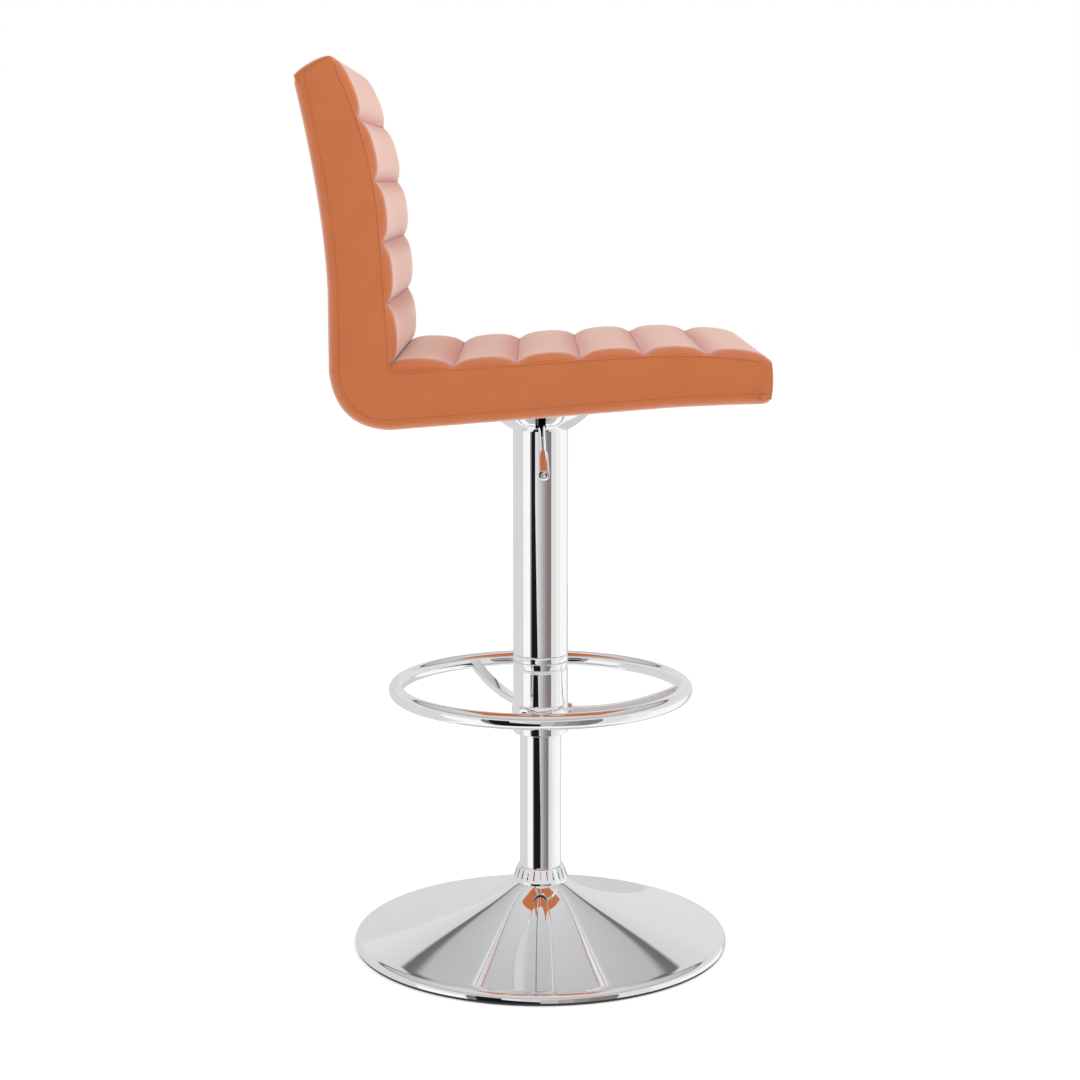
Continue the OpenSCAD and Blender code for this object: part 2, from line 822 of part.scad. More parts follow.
module top_cap() {
    puff = 7;
    rear = [back_rear(top_rear_z), top_rear_z];
    front = [back_front(back_z1), back_z1];
    inner = [[back_front(back_z1 - skin_t) + skin_t, back_z1 - skin_t],
             [back_rear(top_rear_z - skin_t) - skin_t, top_rear_z - skin_t]];
    color(vinyl) across_x(core_w) polygon(concat(crowned(rear, front, puff), inner));
}

base_shell();
ballast_plate();
edge_ring();
base_hub();
hub_screws();
lower_column();
column_end_plate();
lower_race();
bearing_balls();
slotted_collar();
guide_bush();
footrest_sleeve();
footrest_bush();
footrest_arm(0);  // footrest_arm_1
footrest_arm(1);  // footrest_arm_2
footrest_arm(2);  // footrest_arm_3
footrest_ring();
footrest_set_screw();
piston_rod();
piston();
rod_clip();
upper_race();
bump_stop();
gas_cylinder();
cylinder_gland();
cover_tube();
cover_guide();
bell_cover();
taper_socket();
lift_bracket();
seat_plate();
seat_bolts();
tee_nuts();
lever_pivot();
valve_button();
lever_rod();
lever_grip();
seat_board();
back_board();
corner_brackets();
bracket_screws();
seat_foam();
back_foam();
seat_channels();
back_channels();
side_panel(-1);  // side_panel_right
side_panel(1);  // side_panel_left
nose_panel();
rear_panel();
top_cap();
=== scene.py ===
import math

import bmesh
import bpy
from mathutils import Matrix, Vector, noise


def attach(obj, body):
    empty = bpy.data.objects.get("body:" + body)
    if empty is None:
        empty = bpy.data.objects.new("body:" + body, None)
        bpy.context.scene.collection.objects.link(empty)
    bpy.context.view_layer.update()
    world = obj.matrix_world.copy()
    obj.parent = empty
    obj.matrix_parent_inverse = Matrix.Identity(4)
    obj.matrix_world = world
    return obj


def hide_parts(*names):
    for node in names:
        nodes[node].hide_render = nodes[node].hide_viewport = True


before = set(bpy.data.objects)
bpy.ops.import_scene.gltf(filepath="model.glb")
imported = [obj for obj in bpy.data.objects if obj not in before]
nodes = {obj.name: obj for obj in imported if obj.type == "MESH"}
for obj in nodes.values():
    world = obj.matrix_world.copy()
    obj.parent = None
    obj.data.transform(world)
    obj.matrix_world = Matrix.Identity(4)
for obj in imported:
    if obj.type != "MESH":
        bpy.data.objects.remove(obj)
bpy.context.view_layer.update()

scene = bpy.context.scene

# ---- The eye ----
# A long lens looks at the stool from the sitter's right hand, a little above the seat,
# so that the lever faces it and the front of the seat points to the right.
eye_place = (-2.358, 0.00404, 0.82756)
eye_dip_degrees = 7.716
eye_swing = 0.00146
lens = bpy.data.cameras.new("long_lens")
lens.sensor_width = 36
lens.lens = 73.41
lens.shift_y = -0.05
lens.clip_end = 40
eye = bpy.data.objects.new("eye", lens)
scene.collection.objects.link(eye)
eye.location = eye_place
eye.rotation_euler = (math.radians(90 - eye_dip_degrees), 0, math.radians(-90) - eye_swing)
scene.camera = eye

# ---- The white tent ----
# White cloth all round and overhead, brighter low down, with a large soft lamp above.
# It lights the vinyl evenly and gives the chrome its broad white reflections.
scene.view_settings.view_transform = "Standard"
tent = bpy.data.worlds.new("white_tent")
scene.world = tent
tent.use_nodes = True
tent_nodes = tent.node_tree.nodes
tent_links = tent.node_tree.links
tent_direction = tent_nodes.new("ShaderNodeTexCoord")
tent_height = tent_nodes.new("ShaderNodeSeparateXYZ")
tent_glow = tent_nodes.new("ShaderNodeValToRGB")
tent_glow.color_ramp.elements[0].position = 0.25
tent_glow.color_ramp.elements[0].color = (1.0, 1.0, 1.0, 1)
tent_glow.color_ramp.elements[1].position = 1.0
tent_glow.color_ramp.elements[1].color = (0.66, 0.66, 0.67, 1)
# The chrome sees the tent's greyer wall, a dark seam a little over half way up, and a dim roof.
seam_bands = ((0.03, 0.78), (0.40, 0.76), (0.535, 0.68), (0.548, 0.14), (0.574, 0.18), (0.594, 0.49))
tent_wall = tent_nodes.new("ShaderNodeValToRGB")
tent_wall.color_ramp.elements[0].position = 0.0
tent_wall.color_ramp.elements[0].color = (1.0, 1.0, 1.0, 1)
tent_wall.color_ramp.elements[1].position = 1.0
tent_wall.color_ramp.elements[1].color = (0.74, 0.74, 0.75, 1)
for height, shade in seam_bands:
    band = tent_wall.color_ramp.elements.new(height)
    band.color = (shade, shade, shade * 1.01, 1)
tent_rays = tent_nodes.new("ShaderNodeLightPath")
tent_mix = tent_nodes.new("ShaderNodeMix")
tent_mix.data_type = "RGBA"
tent_links.new(tent_direction.outputs["Generated"], tent_height.inputs[0])
tent_links.new(tent_height.outputs["Z"], tent_glow.inputs["Fac"])
tent_links.new(tent_height.outputs["Z"], tent_wall.inputs["Fac"])
tent_links.new(tent_rays.outputs["Is Glossy Ray"], tent_mix.inputs["Factor"])
tent_links.new(tent_glow.outputs["Color"], tent_mix.inputs["A"])
tent_links.new(tent_wall.outputs["Color"], tent_mix.inputs["B"])
tent_links.new(tent_mix.outputs["Result"], tent_nodes["Background"].inputs["Color"])
tent_nodes["Background"].inputs["Strength"].default_value = 1.0


def soft_lamp(name, place, target, width, power):
    """A square lamp of the given width that faces the target and is not mirrored."""
    lamp = bpy.data.lights.new(name, "AREA")
    lamp.shape = "SQUARE"
    lamp.size = width
    lamp.energy = power
    stand = bpy.data.objects.new(name, lamp)
    scene.collection.objects.link(stand)
    stand.location = place
    stand.rotation_euler = (Vector(target) - Vector(place)).to_track_quat("-Z", "Y").to_euler()
    stand.visible_glossy = False


soft_lamp("lamp_overhead", (-0.6, -0.4, 3.2), (0, 0, 0.4), 2.4, 29)
soft_lamp("lamp_side", (-3.2, 0.6, 1.6), (0, 0, 0.6), 2.0, 3)
soft_lamp("lamp_front", (-0.9, -2.8, 1.3), (0, 0.1, 0.72), 1.8, 7)


# Dark and grey flags stand beside the tent's opening and are seen only in the chrome.
def flag(name, from_side, to_side, low, high, shade, distance=2.6, low_side=None):
    """An upright panel. Sides are degrees round from the eye, with plus to the eye's left.
    The lower corner at to_side may stand at low_side instead."""
    foot = to_side if low_side is None else low_side
    corners = []
    for side, z in ((from_side, low), (foot, low), (to_side, high), (from_side, high)):
        turn = math.radians(side)
        corners.append((-distance * math.cos(turn), distance * math.sin(turn), z))
    panel = bpy.data.meshes.new(name)
    panel.from_pydata(corners, [], [(0, 1, 2, 3)])
    held = bpy.data.objects.new(name, panel)
    scene.collection.objects.link(held)
    cloth = bpy.data.materials.new(name + "_cloth")
    cloth.use_nodes = True
    glow = cloth.node_tree.nodes.new("ShaderNodeEmission")
    glow.inputs["Color"].default_value = (*shade, 1)
    out = cloth.node_tree.nodes["Material Output"]
    cloth.node_tree.links.new(glow.outputs[0], out.inputs["Surface"])
    panel.materials.append(cloth)
    held.visible_camera = False
    held.visible_diffuse = False
    held.visible_shadow = False


flag_foot = -3.0
flag_top = 0.9
black_cloth = (0.01, 0.01, 0.011)
for first in (76, 102, 128, 154):
    flag(f"flag_left_{first}", first + 26, first, flag_foot, 1.0, (0.71, 0.71, 0.71))
flag("flag_edge", 43, 36, flag_foot, flag_top, (0.2, 0.2, 0.2))
flag("flag_black", 37, 22, 0.14, flag_top, black_cloth, 2.5)
flag("flag_black_slant", 37, 22, -0.58, 0.14, black_cloth, 2.5, 0)
flag("flag_black_foot", 37, 0, flag_foot, -0.58, black_cloth, 2.5)
flag("flag_lavender", 23, 11, flag_foot, flag_top, (0.78, 0.76, 0.80))
flag("flag_pale_1", 11, 0, flag_foot, flag_top, (0.66, 0.63, 0.66))
flag("flag_pale_2", 0, -10, flag_foot, flag_top, (0.52, 0.49, 0.50))
flag("flag_pale_3", -10, -19, flag_foot, flag_top, (0.39, 0.36, 0.35))
flag("flag_pale_4", -19, -28, flag_foot, flag_top, (0.29, 0.265, 0.25))
flag("flag_brown", -28, -45, flag_foot, flag_top, (0.225, 0.205, 0.19))
flag("flag_grey_1", -45, -66, flag_foot, flag_top, (0.78, 0.78, 0.78))
flag("flag_grey_2", -66, -88, flag_foot, flag_top, (0.9, 0.9, 0.9))
flag("flag_far_1", -140, -160, flag_foot, -0.05, (0.64, 0.64, 0.64))
flag("flag_far_2", -160, -180, flag_foot, -0.05, (0.64, 0.64, 0.64))
flag("flag_far_3", -140, -180, -0.05, 1.0, (0.76, 0.76, 0.76))

# ---- The floor ----
# A seamless white sheet under the stool, wide enough to run out of sight.
# It glows faintly and evenly, so that hardly any shadow shows on it.
sheet = bpy.data.meshes.new("floor_sheet")
sheet.from_pydata([(-9, -9, 0), (9, -9, 0), (9, 9, 0), (-9, 9, 0)], [], [(0, 1, 2, 3)])
floor = bpy.data.objects.new("floor_sheet", sheet)
scene.collection.objects.link(floor)
floor.location.z = -0.0004
floor_white = bpy.data.materials.new("floor_white")
floor_white.use_nodes = True
floor_shader = floor_white.node_tree.nodes["Principled BSDF"]
floor_shader.inputs["Base Color"].default_value = (0.9, 0.9, 0.9, 1)
floor_shader.inputs["Roughness"].default_value = 0.9
floor_shader.inputs["Specular IOR Level"].default_value = 0.1
floor_shader.inputs["Emission Color"].default_value = (1, 1, 1, 1)
floor_shader.inputs["Emission Strength"].default_value = 0.37
sheet.materials.append(floor_white)
floor.visible_glossy = False

# ---- Base shell ----
# A disc of 1.5 mm steel spun into a trumpet, polished and chromed, with its edge
# rolled down over the rubber ring. The slotted collar hides its neck.


def material_of(name):
    """A new material, its node tree and its main shader."""
    made = bpy.data.materials.new(name)
    made.use_nodes = True
    return made, made.node_tree, made.node_tree.nodes["Principled BSDF"]


def speckle(tree, size, detail=3.0, kind="ShaderNodeTexNoise"):
    """A noise whose grains are about size metres across, fixed to the piece."""
    place = tree.nodes.new("ShaderNodeTexCoord")
    grain = tree.nodes.new(kind)
    grain.inputs["Scale"].default_value = 1 / size
    if kind == "ShaderNodeTexNoise":
        grain.inputs["Detail"].default_value = detail
    tree.links.new(place.outputs["Object"], grain.inputs["Vector"])
    return grain


def ranged(tree, source, low, high):
    """The 0 to 1 source spread between low and high."""
    spread = tree.nodes.new("ShaderNodeMapRange")
    spread.inputs["To Min"].default_value = low
    spread.inputs["To Max"].default_value = high
    tree.links.new(source, spread.inputs["Value"])
    return spread.outputs["Result"]


def raised(tree, source, height, shader, over=None):
    """Bump of the given height in metres from a 0 to 1 source."""
    bump = tree.nodes.new("ShaderNodeBump")
    bump.inputs["Strength"].default_value = 1.0
    bump.inputs["Distance"].default_value = height
    tree.links.new(source, bump.inputs["Height"])
    if over is not None:
        tree.links.new(over.outputs["Normal"], bump.inputs["Normal"])
    tree.links.new(bump.outputs["Normal"], shader.inputs["Normal"])
    return bump


def two_tones(tree, source, first, second):
    """A colour that goes from first to second with the source."""
    tones = tree.nodes.new("ShaderNodeValToRGB")
    tones.color_ramp.elements[0].position = 0.3
    tones.color_ramp.elements[0].color = (*first, 1)
    tones.color_ramp.elements[1].position = 0.7
    tones.color_ramp.elements[1].color = (*second, 1)
    tree.links.new(source, tones.inputs["Fac"])
    return tones.outputs["Color"]


def speckled_finish(name, grain_size, tones, gloss, relief=0, metallic=0):
    """A finish whose colour and roughness wander a little with a fine grain."""
    made, tree, shader = material_of(name)
    shader.inputs["Metallic"].default_value = metallic
    grain = speckle(tree, grain_size)
    tree.links.new(two_tones(tree, grain.outputs["Fac"], *tones), shader.inputs["Base Color"])
    tree.links.new(ranged(tree, grain.outputs["Fac"], *gloss), shader.inputs["Roughness"])
    if relief:
        raised(tree, grain.outputs["Fac"], relief, shader)
    return made


chrome, chrome_tree, chrome_shader = material_of("bright_chrome")
chrome_shader.inputs["Metallic"].default_value = 1.0
chrome_haze = speckle(chrome_tree, 0.06, 2.0)
chrome_tree.links.new(
    two_tones(chrome_tree, chrome_haze.outputs["Fac"], (0.925, 0.925, 0.93), (0.95, 0.95, 0.955)),
    chrome_shader.inputs["Base Color"])
chrome_tree.links.new(
    ranged(chrome_tree, chrome_haze.outputs["Fac"], 0.02, 0.05), chrome_shader.inputs["Roughness"])
chrome_ripple = speckle(chrome_tree, 0.035, 1.0)
raised(chrome_tree, chrome_ripple.outputs["Fac"], 0.00002, chrome_shader)


def solid_piece(name, verts, faces, finish, body, slot, sharp=32):
    """A mesh from its points and faces, smooth but for edges over sharp degrees."""
    mesh = bpy.data.meshes.new(name)
    mesh.from_pydata(verts, [], faces)
    work = bmesh.new()
    work.from_mesh(mesh)
    bmesh.ops.recalc_face_normals(work, faces=work.faces)
    work.to_mesh(mesh)
    work.free()
    mesh.polygons.foreach_set("use_smooth", [True] * len(mesh.polygons))
    mesh.set_sharp_from_angle(angle=math.radians(sharp))
    mesh.materials.append(finish)
    piece = bpy.data.objects.new(name, mesh)
    scene.collection.objects.link(piece)
    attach(piece, body)
    return piece


def turned(outline, around=256):
    """Points and faces of a ring whose section is a closed loop of (radius, height).
    A long straight side gets a line close to each end, which keeps its gloss straight."""
    verts = []
    faces = []
    guarded = []
    for here, there in zip(outline, list(outline[1:]) + [outline[0]]):
        guarded.append(tuple(here))
        side = Vector(there) - Vector(here)
        if side.length > 0.008:
            guarded.append(tuple(Vector(here) + side.normalized() * 0.0006))
            guarded.append(tuple(Vector(there) - side.normalized() * 0.0006))
    outline = guarded
    count = len(outline)
    for k in range(around):
        turn = 2 * math.pi * k / around
        for radius, height in outline:
            verts.append((radius * math.cos(turn), radius * math.sin(turn), height))
    for k in range(around):
        here = k * count
        there = ((k + 1) % around) * count
        for i in range(count):
            j = (i + 1) % count
            faces.append((here + i, there + i, there + j, here + j))
    return verts, faces


def bent(points, t):
    """The point at t on a Bezier curve with three or four control points."""
    left = [Vector(p) for p in points]
    while len(left) > 1:
        left = [a.lerp(b, t) for a, b in zip(left, left[1:])]
    return left[0]


base_radius = 0.205
shell_thickness = 0.0015
shell_foot = 0.0034
flare = [(0.0295, 0.071), (0.042, 0.055), (0.1, 0.0324), (0.197, 0.012)]
rolled_edge = [(0.197, 0.012), (0.2045, 0.0112), (0.205, 0.005)]
shell_out = [bent(flare, k / 60) for k in range(60)]
shell_out += [bent(rolled_edge, k / 12) for k in range(13)]
shell_out.append(Vector((base_radius, shell_foot)))
shell_in = []
for before, here, after in zip([shell_out[0]] + shell_out, shell_out, shell_out[1:] + shell_out[-1:]):
    along = (after - before).normalized()
    shell_in.append(here + Vector((along.y, -along.x)) * shell_thickness)
shell_in[-1] = Vector((base_radius - shell_thickness, shell_foot))
base_shell = solid_piece("base_shell_spun", *turned(shell_out + shell_in[::-1], 320),
                         chrome, "base", "chrome")
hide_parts("base_shell")

# ---- Edge ring ----
# A black rubber ring gripped under the rolled edge. It alone touches the floor, and
# shows as a thin dark line all round.
rubber = speckled_finish(
    "black_rubber", 0.0012, ((0.012, 0.012, 0.013), (0.03, 0.03, 0.03)), (0.55, 0.8), relief=0.00008)
ring_bore = 0.179
ring_section = [(ring_bore, 0.0), (0.2025, 0.0), (0.2036, 0.0005), (0.2042, 0.0015),
                (0.2044, shell_foot), (ring_bore, shell_foot)]
edge_ring = solid_piece("edge_ring_moulded", *turned(ring_section, 320), rubber, "base", "rubber")
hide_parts("edge_ring")

# ---- Weight plate, hub and bearing ----
# Plain turned and sawn steel, zinc plated or oiled, bolted together under the shell.
# They stay as they were machined.
steel = speckled_finish("zinc_steel", 0.004, ((0.42, 0.43, 0.45), (0.6, 0.61, 0.63)), (0.28, 0.45),
                        relief=0.00004, metallic=1.0)


def keep(names, finish):
    """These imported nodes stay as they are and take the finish."""
    for name in names:
        nodes[name].data.materials.clear()
        nodes[name].data.materials.append(finish)


keep(["ballast_plate", "base_hub", "hub_screws", "column_end_plate", "lower_race",
      "bearing_balls", "rod_clip", "upper_race", "piston"], steel)

# ---- Lower tube and its collar ----
# A chromed tube 46 mm across, welded to the hub. A slotted chromed collar slides down
# it and covers the joint with the shell.
column_radius = 0.023
column_bore = 0.021
column_foot = 0.0084
column_top = 0.54
column_section = [(column_bore, column_foot), (column_radius, column_foot),
                  (column_radius, column_top), (column_bore, column_top)]
lower_tube = solid_piece("lower_tube_drawn", *turned(column_section), chrome, "base", "chrome")
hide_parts("lower_column")
keep(["slotted_collar"], chrome)

# ---- Bushes and rubber stop ----
# Black acetal bushes guide the cylinder and the cover tube, and centre the footrest. They
# are turned and pressed in. The bump stop on the rod is moulded rubber.
plastic = speckled_finish(
    "black_acetal", 0.002, ((0.015, 0.015, 0.016), (0.028, 0.028, 0.03)), (0.35, 0.5))
keep(["guide_bush", "footrest_bush", "cover_guide"], plastic)
keep(["bump_stop"], rubber)

# ---- Footrest sleeve ----
# A chromed tube with a raised band where the arms are welded and a rolled bead on top.
# A black set screw on its far side clamps it on the lower tube.
sleeve_foot = 0.237
sleeve_top = 0.324
sleeve_radius = 0.03
sleeve_bore = 0.0285
band_height = 0.2603
band_width = 0.02
band_bulge = 0.0019
bead_radius = 0.0291
bead_width = 0.014
bead_bulge = 0.0011
sleeve_section = [(sleeve_bore, sleeve_foot), (0.0293, sleeve_foot), (0.0298, sleeve_foot + 0.0004),
                  (sleeve_radius, sleeve_foot + 0.001)]
for k in range(17):
    t = k / 16
    sleeve_section.append((sleeve_radius + band_bulge * math.sin(math.pi * t),
                           band_height - band_width / 2 + band_width * t))
sleeve_section.append((sleeve_radius, sleeve_top - bead_width - 0.0015))
for k in range(17):
    t = k / 16
    sleeve_section.append((bead_radius + bead_bulge * math.sin(math.pi * t),
                           sleeve_top - bead_width + bead_width * t))
sleeve_section.append((sleeve_bore, sleeve_top))
sleeve = solid_piece("footrest_sleeve_turned", *turned(sleeve_section), chrome, "base", "chrome", 40)
boss_radius = 0.0083
boss_bore = 0.0055
boss_root = 0.027
boss_section = []
for k in range(9):
    t = k / 8
    boss_section.append((boss_radius + 0.0018 * (1 - t) ** 2, boss_root + 0.0072 * t))
boss_section += [(0.0079, 0.0347), (boss_bore, 0.0349), (boss_bore, boss_root)]
for k in range(3):
    boss = solid_piece(f"arm_boss_{k + 1}", *turned(boss_section, 64), chrome, "base", "chrome", 40)
    turn = Matrix.Rotation(math.radians(-90 + 120 * k), 4, "Z")
    lift = Matrix.Translation((0, 0, band_height))
    boss.data.transform(turn @ lift @ Matrix.Rotation(math.pi / 2, 4, "Y"))
    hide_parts("footrest_sleeve")
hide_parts("footrest_sleeve")
black_steel = speckled_finish(
    "black_oxide_steel", 0.003, ((0.03, 0.03, 0.032), (0.06, 0.06, 0.062)), (0.3, 0.5), metallic=1.0)
keep(["footrest_set_screw", "gas_cylinder", "cylinder_gland"], black_steel)

# ---- Footrest arms and ring ----
# Three flat bars with rounded edges leave the band level and sweep up to the ring, a
# tube of 17 mm bent to a hoop and welded shut. All of it is polished and chromed.
ring_radius = 0.1575
ring_height = 0.2858
ring_tube_radius = 0.0085
arm_start = 0.0295
arm_bend = 0.036
arm_sweep = 0.1175
arm_rise = 0.0255
arm_bite = 0.004
arm_half_width = 0.006
arm_half_height = 0.004
arm_corner = 0.0016
ring_tube = []
for k in range(48):
    turn = 2 * math.pi * k / 48
    ring_tube.append((ring_radius + ring_tube_radius * math.cos(turn),
                      ring_height + ring_tube_radius * math.sin(turn)))
ring = solid_piece("footrest_ring_bent", *turned(ring_tube, 320), chrome, "base", "chrome")
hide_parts("footrest_ring")


def bar_section(half_width, half_height, corner):
    """The outline of a flat bar with rounded corners."""
    outline = []
    for side, up, start in ((1, 1, 0), (-1, 1, 90), (-1, -1, 180), (1, -1, 270)):
        for k in range(6):
            turn = math.radians(start + 18 * k)
            outline.append((side * (half_width - corner) + corner * math.cos(turn),
                            up * (half_height - corner) + corner * math.sin(turn)))
    return outline


def swept(section, centres):
    """Points and faces of a bar whose section is carried along centres in the XZ plane."""
    verts = []
    faces = []
    count = len(section)
    last = len(centres) - 1
    for k, centre in enumerate(centres):
        along = (centres[min(k + 1, last)] - centres[max(k - 1, 0)]).normalized()
        up = Vector((-along.z, 0, along.x))
        for across, rise in section:
            verts.append(centre + Vector((0, across, 0)) + up * rise)
    for k in range(last):
        for i in range(count):
            j = (i + 1) % count
            faces.append((k * count + i, k * count + j, (k + 1) * count + j, (k + 1) * count + i))
    faces.append(tuple(range(count)))
    faces.append(tuple(range(last * count, (last + 1) * count)))
    return verts, faces


for k in range(3):
    centres = []
    for step in range(49):
        reach = arm_start + (ring_radius - arm_bite - arm_start) * step / 48
        lift = arm_rise * (max(0, reach - arm_bend) / arm_sweep) ** 2.2
        centres.append(Vector((reach, 0, band_height + lift)))
    arm = solid_piece(f"footrest_arm_{k + 1}_bar",
                      *swept(bar_section(arm_half_width, arm_half_height, arm_corner), centres),
                      chrome, "base", "chrome", 50)
    arm.data.transform(Matrix.Rotation(math.radians(-90 + 120 * k), 4, "Z"))
    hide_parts(f"footrest_arm_{k + 1}")

# ---- Gas spring ----
# The rod is hard chromed, the cylinder painted black, and the valve button is bare red
# plastic. All of it is out of sight until the seat is raised.
keep(["piston_rod"], chrome)
button_red = speckled_finish(
    "red_valve_plastic", 0.001, ((0.3, 0.02, 0.015), (0.38, 0.03, 0.02)), (0.3, 0.45))
keep(["valve_button"], button_red)

# ---- Cover tube and bell ----
# The chromed cover tube hangs under the seat and slides down over the lower tube. The
# bell is spun from thin steel, chromed, and trapped between the tube and the seat.
cover_radius = 0.03
cover_bore = 0.0285
cover_foot = 0.3245
cover_top = 0.57
tube_section = [(cover_bore, cover_foot), (0.0297, cover_foot), (cover_radius, cover_foot + 0.0004),
                (cover_radius, cover_top), (cover_bore, cover_top)]
cover_tube = solid_piece("cover_tube_drawn", *turned(tube_section), chrome, "seat", "chrome", 20)
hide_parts("cover_tube")

under_height = 0.5995
under_slope = math.tan(math.radians(4.6))
bell_curve = [(0.0302, cover_top), (0.04, 0.5755), (0.052, 0.5825), (0.066, 0.6035)]
bell_wall = 0.0012
bell_steps = 28
bell_around = 192
bell_verts = []
bell_faces = []
for k in range(bell_around):
    turn = 2 * math.pi * k / bell_around
    end = 1.0
    while end > 0.5:
        rim = bent(bell_curve, end)
        if rim.y <= under_height - rim.x * math.sin(turn) * under_slope - 0.0002:
            break
        end -= 0.002
    column = [bent(bell_curve, end * i / bell_steps) for i in range(bell_steps + 1)]
    column = column + [Vector((p.x - bell_wall, p.y)) for p in reversed(column)]
    for p in column:
        bell_verts.append((p.x * math.cos(turn), p.x * math.sin(turn), p.y))
bell_count = 2 * (bell_steps + 1)
for k in range(bell_around):
    here = k * bell_count
    there = ((k + 1) % bell_around) * bell_count
    for i in range(bell_count):
        j = (i + 1) % bell_count
        bell_faces.append((here + i, there + i, there + j, here + j))
bell = solid_piece("bell_spun", bell_verts, bell_faces, chrome, "seat", "chrome", 50)
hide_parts("bell_cover")

# The lever's slot is sawn through the bell's right side.
slot_place = (-0.055, 0, 0.5825)
slot_size = (0.05, 0.011, 0.017, 1)
slot_mesh = bpy.data.meshes.new("slot_saw")
slot_work = bmesh.new()
bmesh.ops.create_cube(slot_work, size=1.0)
slot_work.to_mesh(slot_mesh)
slot_work.free()
slot_mesh.transform(Matrix.Translation(slot_place) @ Matrix.Diagonal(slot_size))
slot_saw = bpy.data.objects.new("slot_saw", slot_mesh)
scene.collection.objects.link(slot_saw)
sawn = bell.modifiers.new("slot", "BOOLEAN")
sawn.operation = "DIFFERENCE"
sawn.solver = "EXACT"
sawn.object = slot_saw
bpy.context.view_layer.update()
graph = bpy.context.evaluated_depsgraph_get()
sawn_mesh = bpy.data.meshes.new_from_object(
    bell.evaluated_get(graph), preserve_all_data_layers=True, depsgraph=graph)
bell.modifiers.clear()
bell.data = sawn_mesh
bpy.data.objects.remove(slot_saw)
sawn_mesh.polygons.foreach_set("use_smooth", [True] * len(sawn_mesh.polygons))
sawn_mesh.set_sharp_from_angle(angle=math.radians(50))

# ---- Seat carrier ----
# The taper socket, the folded bracket and the round plate are pressed and welded from
# mild steel. Four bolts go through the plate into tee nuts in the seat board.
keep(["taper_socket", "lift_bracket", "seat_plate", "seat_bolts", "tee_nuts", "lever_pivot",
      "corner_brackets", "bracket_screws"], steel)

# ---- Height lever ----
# A chromed rod of 7 mm let into a flat steel arm on the pivot pin. A tapered chromed
# grip with a blind hole in its end is pushed over the rod.
pivot = Vector((-0.018, 0, 0.5811))
root_x = 0.024
lever_reach = 0.150
lever_bend = 0.035
lever_drop = 0.0424
lever_swing_degrees = 1.3
rod_radius = 0.0035
lever_tilt = math.atan(lever_drop / (lever_reach - lever_bend))
root_height = pivot.z + (lever_bend - root_x) * math.tan(lever_tilt)
lever_length = (lever_reach - root_x) / math.cos(lever_tilt)
grip_length = 0.05
down_lever = (Matrix.Rotation(math.radians(lever_swing_degrees), 4, "Z")
              @ Matrix.Translation((-root_x, 0, root_height))
              @ Matrix.Rotation(math.radians(-90) - lever_tilt, 4, "Y"))
rod_end = lever_length - 0.02
rod_section = [(0.0002, 0.001), (rod_radius, 0.001), (rod_radius, rod_end), (0.0002, rod_end)]
rod = solid_piece("lever_rod_drawn", *turned(rod_section, 48), chrome, "lever", "chrome")
rod.data.transform(down_lever)
arm_line = [Vector((x, 0, pivot.z)) for x in (-0.03, -0.017, -0.006, 0.004)]
lever_arm = solid_piece("lever_arm_pressed", *swept(bar_section(0.004, 0.004, 0.0006), arm_line),
                        steel, "lever", "steel", 50)
riser_line = [Vector((x, 0, pivot.z + 0.002)) for x in (-0.0299, -0.0161)]
riser = solid_piece("lever_riser_pressed", *swept(bar_section(0.004, 0.006, 0.0006), riser_line),
                    steel, "lever", "steel", 50)
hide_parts("lever_rod")
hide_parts("lever_rod")
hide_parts("lever_rod")
grip_start = lever_length - grip_length
grip_section = [(0.0036, grip_start), (0.0040, grip_start)]
for k in range(1, 9):
    t = k / 8
    grip_section.append((0.0040 + 0.0011 * math.sin(math.pi / 2 * t), grip_start + 0.004 * t))
grip_section += [(0.0057, lever_length - 0.0014), (0.00585, lever_length - 0.0008),
                 (0.0056, lever_length - 0.0002), (0.0052, lever_length), (0.0036, lever_length),
                 (0.0033, lever_length - 0.0004), (0.0033, lever_length - 0.005),
                 (0.0002, lever_length - 0.005), (0.0002, lever_length - 0.014),
                 (0.0036, lever_length - 0.014)]
grip = solid_piece("lever_grip_turned", *turned(grip_section, 64), chrome, "lever", "chrome", 40)
grip.data.transform(down_lever)
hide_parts("lever_grip")

# ---- Boards ----
# Two birch plywood boards, 12 mm thick, carry the foam. Two bent steel straps screwed to
# both hold them at their angle, and the foam and vinyl cover them wholly.
birch, birch_tree, birch_shader = material_of("birch_ply")
birch_place = birch_tree.nodes.new("ShaderNodeTexCoord")
birch_stretch = birch_tree.nodes.new("ShaderNodeMapping")
birch_stretch.inputs["Scale"].default_value = (12, 12, 240)
birch_grain = birch_tree.nodes.new("ShaderNodeTexNoise")
birch_grain.inputs["Scale"].default_value = 3.0
birch_grain.inputs["Detail"].default_value = 6.0
birch_tree.links.new(birch_place.outputs["Object"], birch_stretch.inputs["Vector"])
birch_tree.links.new(birch_stretch.outputs["Vector"], birch_grain.inputs["Vector"])
birch_tree.links.new(
    two_tones(birch_tree, birch_grain.outputs["Fac"], (0.5, 0.34, 0.19), (0.68, 0.5, 0.31)),
    birch_shader.inputs["Base Color"])
birch_tree.links.new(
    ranged(birch_tree, birch_grain.outputs["Fac"], 0.5, 0.7), birch_shader.inputs["Roughness"])
keep(["seat_board", "back_board"], birch)
